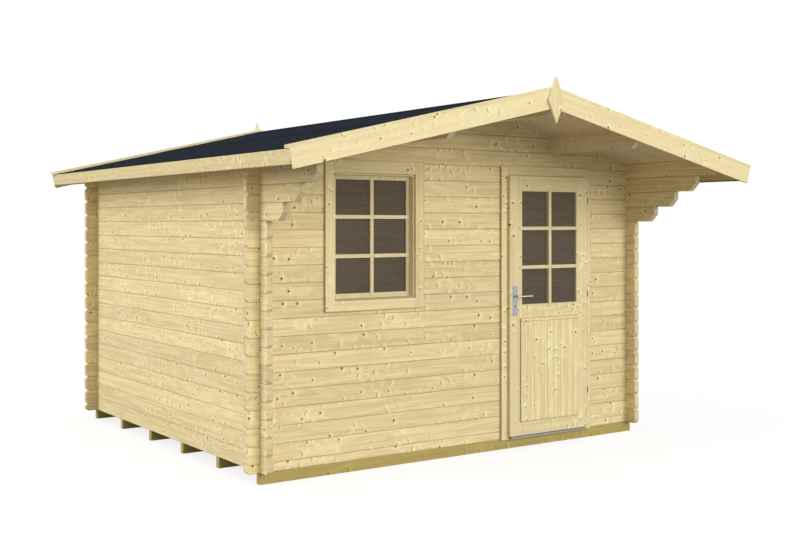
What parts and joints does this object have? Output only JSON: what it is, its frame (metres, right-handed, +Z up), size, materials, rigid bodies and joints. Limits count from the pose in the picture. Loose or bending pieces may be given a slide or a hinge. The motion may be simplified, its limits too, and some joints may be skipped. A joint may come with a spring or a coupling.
{
  "type": "log garden shed with porch roof",
  "caption": "Log-built garden shed with crossed corners, a low felt roof reaching out over the front on stepped logs, a half-glazed door that opens outward and a barred window.",
  "frame": {"origin": "middle of the footprint of the roof, finials included, at the underside of the floor bearers", "axes": "+Z up, -Y towards the door side, +X to the right of someone who faces the door"},
  "size_m": [3.9356, 4.182, 2.6041],
  "materials": {
    "log_pine": "planed, untreated",
    "board_pine": "planed, untreated",
    "trim_pine": "planed, untreated",
    "joinery_pine": "planed, untreated",
    "treated_pine": "pressure treated",
    "roofing_felt": "fine mineral felt",
    "pane": "clear",
    "sill_metal": "satin",
    "hinge_bronze": "dark bronze",
    "handle_metal": "brushed"
  },
  "bodies": {
    "shed": {"left_wall": "log_pine", "left_eave_logs": "log_pine", "right_wall": "log_pine", "right_eave_logs": "log_pine", "back_wall": "log_pine", "front_wall_left": "log_pine", "front_wall_right": "log_pine", "front_gable": "log_pine", "floor_boards": "board_pine", "left_roof_boards": "board_pine", "right_roof_boards": "board_pine", "ridge_purlin": "board_pine", "left_purlin": "board_pine", "right_purlin": "board_pine", "left_eave_board": "trim_pine", "right_eave_board": "trim_pine", "front_left_barge": "trim_pine", "front_right_barge": "trim_pine", "back_left_barge": "trim_pine", "back_right_barge": "trim_pine", "front_left_cover": "trim_pine", "front_right_cover": "trim_pine", "back_left_cover": "trim_pine", "back_right_cover": "trim_pine", "front_finial": "trim_pine", "back_finial": "trim_pine", "window_frame": "joinery_pine", "window_casing": "joinery_pine", "window_sash": "joinery_pine", "window_bars": "joinery_pine", "door_frame": "joinery_pine", "door_casing": "joinery_pine", "floor_bearers": "treated_pine", "left_roofing": "roofing_felt", "right_roofing": "roofing_felt", "window_glass": "pane", "door_threshold": "sill_metal", "frame_hinges": "hinge_bronze"},
    "door": {"door_leaf": "joinery_pine", "door_boarding": "joinery_pine", "door_glass": "pane", "door_bars": "joinery_pine", "door_hinges": "hinge_bronze", "handle_plates": "handle_metal"},
    "handle": {"handle_lever": "handle_metal"}
  },
  "joints": [
    {"name": "door_hinge", "type": "hinge", "parent": "shed", "child": "door", "pos_m": [1.153, -1.179, 1.104], "axis": [0, 0, 1], "range_deg": [0, 105]},
    {"name": "handle_turn", "type": "hinge", "parent": "door", "child": "handle", "pos_m": [0.417, -1.168, 1.121], "axis": [0, 1, 0], "range_deg": [0, 40], "stiffness_Nm_per_rad": 1, "springref_deg": -17.19}
  ]
}
